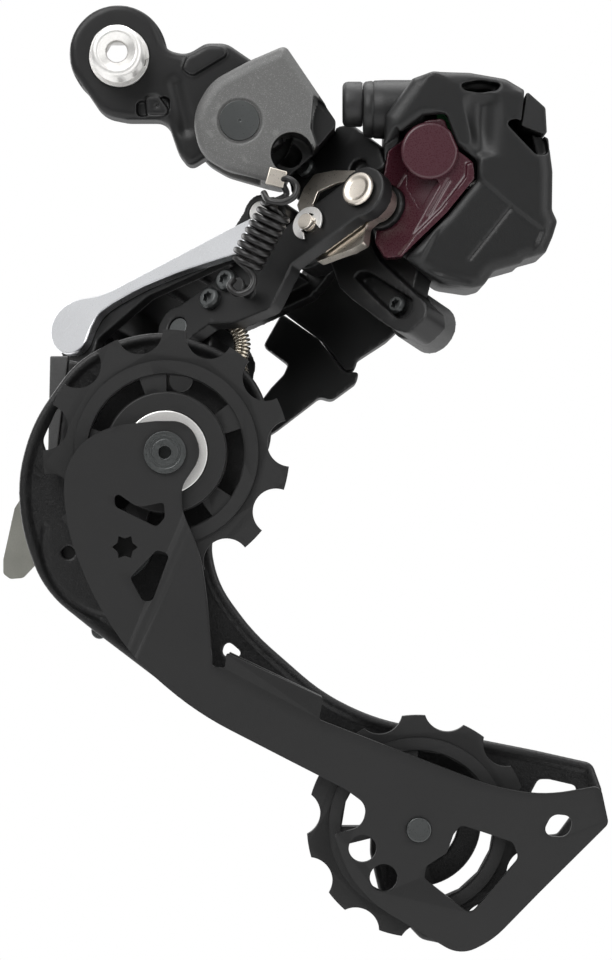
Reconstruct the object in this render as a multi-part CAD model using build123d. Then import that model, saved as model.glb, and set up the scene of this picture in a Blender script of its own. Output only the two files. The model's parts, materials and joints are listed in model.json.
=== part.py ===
from build123d import *
import math
import os

# Rear bicycle derailleur, electric, 12 speed, long cage. Millimetres.
# +X points to the rear of the bike, +Y away from the wheel, +Z up.
# The origin is on the mount bolt's axis, at the face that rests on the hanger.

# ---- mount bolt and B-link ----
BOLT_R = 5.0                # M10 x 1 mount bolt
BOLT_BORE_R = 1.95
BOLT_REACH = 10.0           # thread length standing out of the hanger face
LINK_T = 8.0                # B-link thickness
EYE = (-0.3, 0.8)
EYE_R = 9.3
B_AXLE = (23.0, -12.6)      # pivot between B-link and base body, axis Y
B_AXLE_R = 3.75
FIT = 0.05                  # radial running clearance

# ---- parallelogram: link frame, x along the links, z along the pivot pins ----
PIVOT_ORIGIN = (45.33, -9.0, -25.84)
LINK_DIR = (-0.7689, 0.3386, -0.5424)
PIN_DIR = (-0.5621, -0.7622, 0.3211)
LINK_LEN = 45.9
OUTER_B = (19.9, -9.2)      # outer link's base pivot, in the link frame
INNER_B = (0.0, 0.0)
INNER_P = (LINK_LEN, 0.0)
OUTER_P = (LINK_LEN + OUTER_B[0], OUTER_B[1])
PIN_R = 2.2

# ---- cage ----
CAGE_AXIS = (0.0, -92.6)    # cage pivot, axis Y
GUIDE = (9.5, -75.4)
TENSION = (56.4, -145.1)
INNER_FACE = -19.0          # wheel side of the inner plate
INNER_BACK = -17.6
OUTER_FACE = -6.8           # chain side of the outer plate
OUTER_BACK = -4.6
PULLEY_Y = (INNER_BACK + OUTER_FACE) / 2
TEETH = 11
GUIDE_TIP_R = 23.0
GUIDE_ROOT_R = 18.9
TENSION_TIP_R = 20.7
TENSION_ROOT_R = 18.3

CLIP = (12.1, -0.8)         # clip pin of the overload clutch, in the link frame
LUG = (8.0, 15.4)           # lower lug of the base bracket, in the link frame
LIMIT_SPOTS = ((32.2, -1.6), (36.8, -0.3))
GUARD_TOP = -24.8           # the guard stays below this height of the link frame
WORM_WHEEL = (58.8, -18.9)
HOUSING = [
    (31.7, 1.8, 1.2), (24.9, -1.1, 20), (17.6, -5.0, 9), (13.9, -11.4, 9), (15.4, -18.8, 7),
    (20.5, -21.8, 9), (28.1, -24.0, 4), (31.2, -24.7, 1), (32.2, -22.4, 1), (37.0, -18.2, 1.5), (41.6, -12.8, 1.5),
]
PLATE = [
    (1.2, -20.7, 1), (14.2, -18.2, 2), (19.0, -14.0, 1), (19.9, -14.0, 0), (19.9, -4.4, 0), (15.2, -3.2, 3),
    (12.5, 6.5, 2), (14.0, 14.5, 4), (9.0, 18.5, 4), (3.5, 14.5, 3), (-2.0, 7.0, 2), (-6.5, 3.0, 2), (-6.0, -10.0, 1),
]
FRONT_PLATE = [
    (1.2, -20.9, 1), (14.6, -18.4, 2), (15.6, -12.6, 2), (6.0, -9.6, 1), (1.9, -8.6, 1), (-1.0, -7.0, 1),
    (-4.6, -5.2, 1), (-5.0, -11.0, 1), (-1.6, -19.6, 1),
]
LUG_ARM = [
    (6.6, -3.2, 1), (7.2, 1.3, 2), (7.1, 5.3, 2), (1.8, 20.6, 2), (2.6, 23.2, 2), (7.4, 24.0, 2), (9.8, 21.3, 2),
    (12.9, 14.7, 3), (15.4, 9.2, 2), (16.8, 5.0, 2), (16.4, -3.0, 1), (9.5, -3.4, 1),
]
LUG_GROOVE = [
    (13.2, 5.1, 1), (11.7, 5.0, 1), (9.9, 6.4, 1), (4.0, 17.6, 1.5), (4.7, 19.8, 1.5), (6.5, 20.6, 1.5), (8.3, 19.4, 1.5),
    (10.3, 14.2, 1),
]
LEVER_AXIS = (-14.6, -89.0)

LINKS = Plane(origin=PIVOT_ORIGIN, x_dir=LINK_DIR, z_dir=PIN_DIR)


def side_plane(y):
    """Plane across Y whose local x and y are the world X and Z."""
    return Plane(origin=(0, y, 0), x_dir=(1, 0, 0), z_dir=(0, -1, 0))


def outline(points):
    """Face from (x, y, corner radius) points; a radius shrinks where its sides are short."""
    count = len(points)
    corners = [Vector(x, y) for x, y, r in points]
    ends = []
    for i in range(count):
        before = corners[i - 1] - corners[i]
        after = corners[(i + 1) % count] - corners[i]
        half = math.radians(before.get_angle(after)) / 2
        reach = min(points[i][2] / math.tan(half), before.length * 0.47, after.length * 0.47)
        start = corners[i] + before.normalized() * reach
        end = corners[i] + after.normalized() * reach
        inward = (before.normalized() + after.normalized()).normalized()
        r = reach * math.tan(half)
        crown = corners[i] + inward * (r / math.sin(half) - r)
        ends.append((start, crown, end))
    edges = []
    for i in range(count):
        start, crown, end = ends[i]
        if (end - start).length > 0.01:
            edges.append(Edge.make_three_point_arc(start, crown, end))
        edges.append(Edge.make_line(end, ends[(i + 1) % count][0]))
    return make_face(edges)


def slab(points, y_near, y_far):
    """Plate across Y between two depths."""
    return extrude(side_plane(y_far) * outline(points), amount=y_far - y_near)


def rod(centre, r, y_near, y_far):
    """Cylinder along Y."""
    x, z = centre
    return Pos(x, (y_near + y_far) / 2, z) * Rot(90, 0, 0) * Cylinder(r, y_far - y_near)


def ring(centre, r_out, r_in, y_near, y_far):
    return rod(centre, r_out, y_near, y_far) - rod(centre, r_in, y_near - 1, y_far + 1)


def link_slab(points, low, high):
    """Plate across the link frame's z, between two heights."""
    return extrude(LINKS * (Pos(0, 0, low) * outline(points)), amount=high - low)


def pin(centre, r, low, high):
    """Cylinder along the link frame's z."""
    x, y = centre
    return LINKS * (Pos(x, y, (low + high) / 2) * Cylinder(r, high - low))


def tube(centre, r_out, r_in, low, high):
    return pin(centre, r_out, low, high) - pin(centre, r_in, low - 1, high + 1)


def bar(a, b, half_a, half_b):
    """Outline of a straight tapered bar between two points, as (x, y, radius) points."""
    angle = math.atan2(b[1] - a[1], b[0] - a[0])
    nx, ny = -math.sin(angle), math.cos(angle)
    return [
        (a[0] + nx * half_a, a[1] + ny * half_a, 0),
        (a[0] - nx * half_a, a[1] - ny * half_a, 0),
        (b[0] - nx * half_b, b[1] - ny * half_b, 0),
        (b[0] + nx * half_b, b[1] + ny * half_b, 0),
    ]


def save(name, shape):
    export_step(shape, f"parts/{name}.step")


def star(r_out, r_in, points=6):
    """Torx-like star outline centred on the origin."""
    corners = []
    for i in range(points * 2):
        r = r_out if i % 2 == 0 else r_in
        a = math.pi * i / points
        corners.append((r * math.cos(a), r * math.sin(a), 0))
    return outline(corners)


def screw(head_r, head_h, shank_r, shank_len):
    """Domed screw with a star socket; z = 0 is under the head, the head is above."""
    body = Cylinder(head_r, head_h, align=(Align.CENTER, Align.CENTER, Align.MIN))
    body = chamfer(body.edges().filter_by(GeomType.CIRCLE).sort_by(Axis.Z)[-1], head_h * 0.3)
    body += Cylinder(shank_r, shank_len, align=(Align.CENTER, Align.CENTER, Align.MAX))
    socket = extrude(Pos(0, 0, head_h * 0.3) * star(head_r * 0.55, head_r * 0.38), amount=head_h)
    return body - socket


# ------------------------------------------------------------------ B-link

def b_link():
    """Cast link from the hanger to the base body, with its stop tab and raised pad."""
    arm = slab([
        (-9.1, -2.2, 0), (-3.2, -10.9, 6), (1.5, -11.8, 6), (9.0, -11.8, 3), (11.2, -18.2, 6),
        (13.4, -20.9, 1.6), (17.0, -18.6, 2), (24.0, -21.6, 2), (31.0, -17.0, 3), (31.5, -9.0, 4),
        (27.0, -1.6, 3), (20.4, 2.9, 4), (16.4, 2.9, 3), (12.8, 0.7, 4), (8.6, 1.6, 4), (6.4, 7.3, 0),
    ], 0, LINK_T)
    body = arm + rod(EYE, EYE_R, 0, LINK_T)
    body -= rod(B_AXLE, 30, -1, LINK_T + 1) & slab(
        [(28.5, 6, 0), (40, 6, 0), (40, -30, 0), (20, -30, 0), (22, -21.9, 0), (31.5, -16, 0), (32.2, -8, 0)],
        -1, LINK_T + 1)
    body -= rod((0, 0), 5.6, -1, LINK_T + 1)
    body -= rod(B_AXLE, B_AXLE_R, -1, LINK_T + 1)
    body -= rod(B_AXLE, 6.8, 2.6, LINK_T + 1)
    body -= slab([(3.2, -8.4, 1), (9.6, -7.2, 1), (9.6, -11.0, 1), (3.2, -11.2, 1)], -1, 1.2)
    pad = slab([
        (12.0, -2.2, 0.9), (13.8, -3.6, 1.2), (20.8, 0.6, 1.2), (19.5, 2.3, 0.8), (17.0, 2.4, 2), (13.0, 0.4, 2),
    ], -0.9, 0.4)
    tab = slab([
        (5.0, -7.5, 0.6), (7.4, -7.3, 0.6), (9.3, -10.0, 0.8), (9.0, -11.0, 0.6), (5.3, -11.1, 0.6),
    ], -1.2, 1.4) - rod((7.0, -9.2), 0.35, -2, -0.6)
    return body + pad + tab


def mount_bolt():
    """Hollow M10 x 1 bolt, inserted from the outside, threaded end towards the wheel."""
    body = rod((0, 0), BOLT_R, -BOLT_REACH, LINK_T + 0.6) + rod((0, 0), 7.6, LINK_T + 0.6, LINK_T + 3.6)
    body -= rod((0, 0), BOLT_BORE_R, -BOLT_REACH - 1, LINK_T + 4)
    body -= rod((0, 0), 3.4, -BOLT_REACH + 3.4, LINK_T + 4)
    socket = Pos(0, LINK_T + 3.6, 0) * Rot(90, 0, 0) * extrude(RegularPolygon(4.6, 6, major_radius=True), amount=6)
    cone = Pos(0, -BOLT_REACH + 1.2, 0) * Rot(90, 0, 0) * Cone(BOLT_BORE_R, BOLT_BORE_R + 1.4, 2.4)
    groove = ring((0, 0), BOLT_R + 1, BOLT_R - 0.5, -1.7, -0.9)
    return body - socket - cone - groove


def bolt_snap_ring():
    """Open ring that keeps the bolt in the B-link."""
    body = ring((0, 0), BOLT_R + 0.7, BOLT_R - 0.45, -1.6, -1.0)
    return body - slab([(3, -1, 0), (9, -3.4, 0), (9, 0.6, 0)], -2, 1)


def bolt_sleeve():
    """Thin plain sleeve pressed into the eye."""
    return ring((0, 0), 5.6, BOLT_R + FIT, 0.2, LINK_T)


def b_axle():
    body = rod(B_AXLE, B_AXLE_R, -6.0, 13.0) + rod(B_AXLE, 5.2, 13.0, 14.6)
    mark = Pos(B_AXLE[0], -6.0, B_AXLE[1]) * Rot(90, 0, 0) * Cone(0.1, 0.5, 0.6)
    return body - mark


def spiral(centre, r, wire, pitch, turns, y_near):
    """Round-wire coil whose axis is along Y."""
    x, z = centre
    path = Helix(pitch=pitch, height=pitch * turns, radius=r)
    start = Plane(origin=path @ 0, z_dir=path % 0)
    coil = sweep(start * Circle(wire / 2), path=path)
    return Pos(x, y_near, z) * Rot(-90, 0, 0) * coil


def b_spring():
    return spiral(B_AXLE, 5.2, 1.1, 1.35, 2.6, 3.9)


# ------------------------------------------------------------------ base body

def base_housing():
    """Painted clevis that holds the B-axle and carries the motor unit."""
    ear = slab(HOUSING, -6.0, -0.3)
    block = slab(HOUSING, -0.3, LINK_T + 0.3) - rod(B_AXLE, 10.2, -1, LINK_T + 1)
    block &= slab([(30.5, 5, 0), (50, 5, 0), (50, -30, 0), (26.0, -30, 0)], -1, LINK_T + 1)
    back = slab(HOUSING, LINK_T + 0.3, 13.0)
    body = ear + block + back
    bevel = extrude(Plane(origin=(36.0, -6.0, -4.0), z_dir=(0.62, -0.72, 0.42)) * Rectangle(60, 60), amount=12)
    body -= Pos(-1.2, 0, -0.9) * bevel
    body -= rod(B_AXLE, B_AXLE_R + FIT, -8, 14)
    body -= rod((32.9, -18.8), 4.0, -7, 3.0)
    body -= slab([(37.0, -7.5, 0.3), (43, -13, 0), (38.0, -18.5, 0.3), (36.4, -14.0, 0.3)], -8, -2.0)
    body -= pin(OUTER_B, 5.4, -1.6, 8.0)
    return body - pin((10.2, -16.8), 2.3, -6.2, 1.5) - front_screw()


def front_screw():
    return LINKS * (Pos(10.2, -16.8, -6.2) * screw(1.9, 1.5, 0.95, 6.0))


def lug_screw():
    return LINKS * (Pos(LUG[0], LUG[1], -17.0) * screw(1.9, 1.8, 1.15, 8.0))


def guard_screws():
    head = Rot(-90, 0, 0) * screw(1.8, 1.4, 0.9, 6.0)
    return [Pos(x, 29.0, z) * head for x, z in ((38.5, -59.5), (34.5, -62.5))]


def base_bracket():
    """Black frame of the motor unit: carries both base pivots and the lower lug."""
    low = -21.0
    body = link_slab(PLATE, low, low + 5.0) + pin(OUTER_B, 4.8, low, low + 5.0)
    body += link_slab(FRONT_PLATE, low + 5.0, -6.2)
    body += pin(INNER_B, 4.4, low + 5.0, -8.4)
    body += pin(OUTER_B, 4.2, low + 5.0, -1.5)
    body += link_slab(LUG_ARM, low, low + 7.0)
    body += pin(LUG, 4.2, low - 8.4, low)
    body -= pin(INNER_B, PIN_R, low - 1, 2)
    body -= pin(OUTER_B, PIN_R, low - 1, 2)
    body -= link_slab(LUG_GROOVE, low + 4.0, low + 8.0)
    body -= pin((0.6, -9.4), 1.9, -8.0, 2.0)
    body -= slab(HOUSING, -7.0, 13.1)
    body -= front_screw()
    body -= lug_screw()
    body -= slab([(53.0, -5.0, 0), (90, -5.0, 0), (90, -27.6, 0), (58.0, -27.6, 0), (53.0, -22.0, 0)], -12, 17)
    return body - port_solid() - gear_case()


def lug_bush():
    """Grey sleeve on the lower lug."""
    return tube(LUG, 4.9, 4.2, -29.4, -21.2)


def motor_shell():
    """Moulded cover over the motor, open at the front over the gear case."""
    outer = [
        (55.6, -4.9, 1), (59.3, -3.6, 2), (66.3, -3.8, 3), (73.2, -5.0, 3), (76.7, -7.1, 2), (80.6, -10.5, 2),
        (81.0, -14.8, 3), (82.0, -22.4, 4), (81.9, -29.7, 2), (82.9, -31.8, 1), (82.0, -34.7, 2), (80.6, -37.9, 1),
        (76.6, -39.0, 0.6), (75.9, -39.8, 0.6), (70.9, -41.2, 1.5), (69.0, -43.9, 1.5), (66.7, -44.5, 2),
        (60.8, -43.6, 3), (52.5, -37.5, 2), (50.2, -30.0, 1), (50.4, -12.0, 2),
    ]
    body = slab(outer, -9.5, 16.0)
    cavity = slab([
        (53.0, -7.0, 2), (70.5, -6.8, 3), (77.5, -12.5, 3), (79.4, -20.0, 3), (79.4, -30.0, 3),
        (74.0, -36.0, 3), (66.0, -40.6, 2), (60.4, -40.4, 2), (53.6, -36.0, 2),
    ], -8.0, 13.5)
    window = slab([
        (50.0, -17.6, 0.5), (57.6, -12.0, 1), (61.9, -11.6, 1), (63.9, -17.4, 1.5), (67.8, -20.4, 1.5),
        (67.8, -24.0, 1.5), (62.4, -30.6, 0.5), (54.2, -38.9, 0.5), (49.0, -38.9, 0.5),
    ], -12, -7.0)
    slot = slab([(72.9, -13.2, 1), (75.2, -12.6, 1), (80.8, -16.4, 1), (81.4, -19.4, 1), (78.8, -19.4, 1)], -12, -5)
    top_slot = slab([
        (64.4, -6.1, 1), (68.2, -5.3, 4), (72.4, -6.0, 1), (71.4, -7.3, 1), (68.2, -7.7, 4), (65.4, -7.3, 1),
    ], -12, -5.5)
    low_slot = Pos(68.5, -4.0, -41.0) * Rot(0, 35, 0) * Box(4.5, 3.0, 1.6)
    side = slab([(76.9, -5.2, 0), (84, -8.0, 0), (84, -17.2, 0), (75.8, -14.2, 0)], -12, 4)
    body = body - cavity - window - slot - top_slot - low_slot - side
    body -= link_slab(PLATE, -21.0, 14) + link_slab(FRONT_PLATE, -16.0, -6.2)
    body -= link_slab([(-3, -9, 0), (30, -9, 0), (30, 9, 0), (-3, 7, 0)], -21.0, 14)
    body -= pin(LUG, 5.5, -40, -10) + arm_sweep() + link_slab(LUG_ARM, -21.0, -13.8)
    return body - port_solid() - gear_case()


def motor_back():
    """Flat lid on the outboard side of the motor unit."""
    return slab([
        (57.5, -6.4, 2), (68.5, -5.4, 2), (73.6, -7.0, 3), (79.0, -12.0, 2), (80.4, -20.5, 2), (80.4, -30.0, 3),
        (75.5, -37.0, 2), (66.6, -41.6, 2), (61.0, -41.5, 3), (54.0, -36.5, 2), (53.6, -9.0, 2),
    ], 16.0, 18.2)


def arm_sweep():
    """Space that the drive arm crosses in its swing."""
    corners = [(-12, -7, 0), (0, 0, 0), (17, 0, 0), (17, 17, 0), (-12, 17, 0)]
    return link_slab(corners, -9.4, 6.0) & pin(INNER_B, 16.4, -9.4, 6.0)


def gear_case_outside():
    return slab([
        (51.0, -18.6, 1), (58.2, -12.8, 1), (61.6, -12.4, 1), (63.4, -17.8, 1.5), (67.2, -20.8, 1.5),
        (67.2, -23.8, 1.5), (62.0, -30.2, 0.5), (53.6, -38.4, 1), (50.6, -38.6, 1), (48.6, -35.2, 1), (49.6, -27.0, 1),
    ], -7.8, -0.5)


def gear_case():
    """Maroon gearbox half seen in the motor shell's window."""
    body = gear_case_outside()
    lip = slab([
        (67.0, -20.8, 0), (67.2, -23.8, 0), (62.0, -30.2, 0), (53.6, -38.3, 0), (53.0, -37.5, 0), (61.0, -29.6, 0),
        (65.8, -23.6, 0), (65.8, -21.0, 0),
    ], -8.4, -7.8)
    body -= slab([
        (54.8, -17.8, 1), (58.4, -13.2, 1), (61.4, -13.0, 1), (62.9, -18.0, 1.5), (66.4, -21.2, 1), (66.0, -23.6, 1),
        (61.4, -29.6, 0.5), (58.6, -32.0, 0.5), (54.8, -25.0, 1),
    ], -6.8, 0)
    body -= Pos(66.0, -2.5, -24.4) * Rot(0, 90, 0) * Cylinder(1.1, 12.0)
    return body + lip - port_solid() - arm_sweep() - pin(INNER_B, 4.4, -22, 6) - link_slab(LUG_ARM, -22, -13.9)


def gear_cap():
    """Round raised boss over the gearbox's main wheel."""
    boundary = slab([
        (50.0, -19.4, 0), (57.6, -12.4, 1), (61.7, -12.2, 1), (64.2, -18.2, 0), (66.0, -26.0, 0), (50.0, -26.0, 0),
    ], -10, 0)
    return rod((58.8, -18.6), 5.4, -9.2, -7.8) & boundary


def side_cover():
    """Small cover let into the motor shell's upper corner."""
    return slab([(77.0, -7.3, 0.4), (80.6, -10.5, 1), (80.9, -15.8, 0.6), (76.0, -13.9, 0.4)], -8.8, 3.8)


def port_solid():
    return Pos(52.2, -1.0, -10.0) * Rot(0, 90, 0) * Cylinder(5.6, 11.6)


def port_barrel():
    """Barrel on the front of the motor unit that takes the cable's plug."""
    return port_solid() - Pos(49.0, -1.0, -8.7) * Rot(0, 90, 0) * Cylinder(2.4, 12.0)


def port_plug():
    """Push-in blanking plug with its collar."""
    collar = Pos(44.5, -1.0, -9.0) * Rot(0, 90, 0) * Cylinder(4.3, 3.8)
    stem = Pos(49.6, -1.0, -8.7) * Rot(0, 90, 0) * Cylinder(2.4, 6.8)
    return collar + stem


def motor():
    """Drive motor, lying across the unit under the gear wheel."""
    can = Pos(73.6, -2.5, -24.4) * Rot(0, 90, 0) * Cylinder(4.2, 10.2)
    shaft = Pos(62.7, -2.5, -24.4) * Rot(0, 90, 0) * Cylinder(0.9, 11.6)
    return can + shaft


def motor_worm():
    return Pos(59.4, -2.5, -24.4) * Rot(0, 90, 0) * (Cylinder(1.7, 4.6) - Cylinder(0.9, 7.0))


def drive_gear():
    """Worm wheel behind the gearbox's round cap; it turns with the links."""
    corners = []
    teeth = 20
    for i in range(teeth * 2):
        r = 3.6 if i % 2 == 0 else 3.1
        a = math.pi * i / teeth
        corners.append((WORM_WHEEL[0] + r * math.cos(a), WORM_WHEEL[1] + r * math.sin(a), 0))
    return slab(corners, -4.0, -1.7) + rod(WORM_WHEEL, 1.0, -6.5, -1.7)


def circuit_board():
    return slab([(60.5, -9.0, 1), (73.0, -9.0, 1), (73.0, -14.5, 1), (60.5, -14.5, 1)], 2.0, 3.0)


def inner_pin():
    return pin(INNER_B, PIN_R - FIT, -21.0, -0.4) + pin(INNER_B, 3.3, -0.4, 0.6)


def outer_pin():
    return pin(OUTER_B, PIN_R - FIT, -23.9, 1.5)


def spring_post():
    """Square-headed post for the return spring's upper hook."""
    return rod((29.9, -23.6), 1.0, -8.8, -6.0) + Pos(30.0, -9.6, -23.8) * Rot(0, 15, 0) * Box(3.4, 1.6, 3.2)


def base_screws():
    """Star-socket screws of the motor unit and its guard."""
    return Compound([front_screw(), lug_screw()] + guard_screws())


def above_guard():
    """Space of the links over the guard."""
    return link_slab([(-60, -60, 0), (120, -60, 0), (120, 80, 0), (-60, 80, 0)], GUARD_TOP, 40)


def lower_guard():
    """Upper shell of the guard under the motor unit."""
    body = slab([
        (30.8, -47.2, 1), (32.2, -41.6, 1), (38.0, -39.4, 1), (46.0, -41.2, 1), (54.0, -51.0, 1), (51.3, -53.5, 1),
        (45.6, -57.2, 1), (45.0, -59.3, 1), (43.2, -59.3, 0.5), (38.3, -52.8, 1),
    ], 4.0, 25.0)
    return body - above_guard() - pin(LUG, 5.0, -60, -10)


def guard_tail():
    """Lower shell of the guard, screwed on below the seam."""
    body = slab([
        (27.0, -54.0, 1), (30.7, -47.4, 0.5), (38.1, -52.9, 1), (43.0, -59.5, 0.5), (45.8, -59.6, 0.5), (45.4, -61.6, 1),
        (40.6, -65.1, 1.5), (38.2, -64.4, 1), (35.9, -66.2, 2), (29.9, -70.8, 1), (26.5, -73.0, 2), (23.0, -70.0, 2),
        (28.6, -62.4, 1), (31.2, -59.7, 0.5), (32.0, -57.8, 0.5),
    ], 5.0, 29.0) - above_guard()
    for item in guard_screws():
        body -= item
    return body


# ------------------------------------------------------------------ inner link

def inner_link():
    """Black inner link with its lower flange."""
    arm = link_slab(bar(INNER_B, INNER_P, 4.3, 4.0), -4.4, -1.0)
    body = arm + pin(INNER_B, 5.0, -4.4, -1.0) + pin(INNER_P, 4.6, -4.4, -1.0)
    body += link_slab([
        (17.0, 2.0, 0), (27.0, 2.0, 0), (40.0, 1.5, 0), (40.2, 3.4, 1), (34.0, 7.6, 2), (26.0, 9.8, 2), (19.5, 5.0, 1),
    ], -4.4, -1.0)
    body += link_slab([(26.0, -4.0, 0.5), (40.0, -4.0, 0.5), (40.0, 2.0, 0.5), (26.0, 2.0, 0.5)], -8.0, -4.4)
    body += pin((29.0, 4.0), 1.1, -2.0, 2.6) + pin((29.0, 4.0), 1.7, 2.6, 3.4)
    body -= pin(INNER_B, PIN_R, -10, 1)
    body -= pin(INNER_P, PIN_R, -10, 1)
    body -= pin(CLIP, 1.6, -10, 1)
    for spot in LIMIT_SPOTS:
        body -= pin(spot, 1.0, -10, 1)
    return body


def saver_plate():
    """Bright plate of the overload clutch, above the inner link's arm."""
    return link_slab([
        (15.0, -4.4, 1), (14.6, -9.8, 0.6), (12.0, -12.2, 1), (8.8, -13.5, 1.5), (4.6, -11.2, 1), (0.2, -7.6, 0.6),
        (2.4, -6.8, 0.6), (5.6, -8.4, 0.6), (9.4, -9.4, 0.6), (11.6, -7.4, 0.6), (9.8, -5.0, 1), (3.6, -4.0, 2),
        (3.4, 3.4, 1), (13.8, 3.4, 1),
    ], -5.6, -4.7) - pin(INNER_B, 3.6, -8, 0) - pin(CLIP, 1.6, -10, 1)


def drive_arm():
    """Output arm that turns the inner link through the overload clutch."""
    arm = link_slab([
        (-3.6, -1.0, 2), (-2.6, 2.6, 2), (3.8, 3.4, 1), (5.6, 6.4, 0.6), (8.4, 5.9, 0.6), (11.4, 4.8, 0.6), (15.8, 3.4, 0.6),
        (15.0, -3.4, 1), (6.0, -4.0, 2), (-2.0, -3.8, 1),
    ], -8.0, -6.0)
    body = arm + tube(INNER_B, 3.6, PIN_R, -8.0, -4.8)
    return body - pin(INNER_B, PIN_R, -10, 1) - pin(CLIP, 1.6, -10, 1)


def clip_pin():
    return pin(CLIP, 1.55, -8.6, 1.0) + pin(CLIP, 2.0, -9.2, -8.6) - tube(CLIP, 3, 1.15, -0.5, 0.1)


def e_clip():
    """Spring clip in the pin's groove: a ring open on one side, with inward lobes."""
    body = tube(CLIP, 3.3, 1.95, -0.45, 0.05)
    body += link_slab([(11.1, -4.0, 0), (13.1, -4.0, 0), (13.1, -2.0, 0), (11.1, -2.0, 0)], -0.45, 0.05)
    for x in (9.0, 13.2):
        body += link_slab([(x, -1.4, 0), (x + 2.0, -1.4, 0), (x + 2.0, -0.2, 0), (x, -0.2, 0)], -0.45, 0.05)
    body &= pin(CLIP, 3.3, -1, 1)
    body -= link_slab([(10.9, -0.8, 0), (13.3, -0.8, 0), (14.4, 4, 0), (9.8, 4, 0)], -2, 2)
    return body - pin(CLIP, 1.2, -2, 2)


def limit_screws():
    shape = screw(2.15, 1.6, 0.95, 7.4)
    return Compound([LINKS * (Pos(x, y, -1.0) * shape) for x, y in LIMIT_SPOTS])


def return_spring():
    """Close-wound tension spring from the base post to the inner link's post."""
    top = Vector(29.2, -8.4, -29.4)
    low = Vector(24.4, -6.9, -39.9)
    path = Helix(pitch=1.45, height=(low - top).length, radius=2.4)
    coil = sweep(Plane(origin=path @ 0, z_dir=path % 0) * Circle(0.6), path=path)
    return Plane(origin=top, z_dir=low - top) * coil


# ------------------------------------------------------------------ outer link

def outer_frame():
    """Channel-section outer link: a web and two flanges that hold the pins."""
    side = [
        (22.0, -5.6, 1), (22.5, -7.6, 1), (35.2, -9.9, 10), (44.7, -11.7, 10), (54.0, -13.5, 8), (61.4, -16.4, 3),
        (67.0, -16.2, 3), (69.6, -12.0, 3), (66.0, -6.4, 3), (60.0, -7.6, 2), (48.0, -8.6, 5), (38.0, -6.0, 5),
        (26.0, -3.2, 1),
    ]
    near = link_slab(side, -0.6, 1.6) + pin(OUTER_B, 3.4, -0.6, 1.6) + pin(OUTER_P, 4.4, -0.6, 1.6)
    near += link_slab(bar(OUTER_B, (26.0, -6.0), 3.0, 2.8), -0.6, 1.6)
    far = link_slab(side, -24.0, -21.5) + pin(OUTER_B, 4.2, -24.0, -21.5) + pin(OUTER_P, 4.4, -24.0, -21.5)
    far += link_slab(bar(OUTER_B, (26.0, -6.0), 3.6, 2.8), -24.0, -21.5)
    web = link_slab([
        (25.2, -6.2, 0), (25.2, -8.0, 0), (54.0, -13.5, 8), (61.4, -16.4, 3), (66.0, -16.4, 0), (66.0, -14.6, 0),
        (61.6, -14.6, 2), (54.2, -11.6, 8),
    ], -24.0, 1.6)
    body = near + far + web
    for x, y in ((31.0, -7.6), (38.0, -8.9), (45.0, -10.2)):
        body += link_slab([(x, y, 0), (x + 1.0, y - 0.2, 0), (x + 1.0, y + 0.7, 0), (x, y + 0.9, 0)], -21.5, -0.6)
    for spot in (OUTER_B, OUTER_P):
        body -= pin(spot, PIN_R, -30, 5)
    return body


def outer_trim():
    """Polished cap on the outer link's wheel side."""
    body = link_slab([
        (20.4, -6.9, 0.3), (26.9, -8.3, 20), (35.2, -9.9, 30), (44.7, -11.7, 30), (54.0, -13.5, 10), (57.4, -14.6, 20),
        (61.9, -17.1, 8), (66.0, -17.9, 6), (69.5, -15.8, 6), (70.5, -11.6, 6), (68.4, -7.2, 6), (64.3, -6.0, 5),
        (61.4, -8.9, 4), (58.5, -10.9, 6), (54.5, -10.7, 8), (48.0, -9.7, 40), (38.1, -6.7, 60), (25.8, -1.8, 0.3),
    ], 1.6, 3.6)
    return body


def p_outer_pin():
    return pin(OUTER_P, PIN_R - FIT, -23.8, 1.5)


# ------------------------------------------------------------------ P-body

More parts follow.
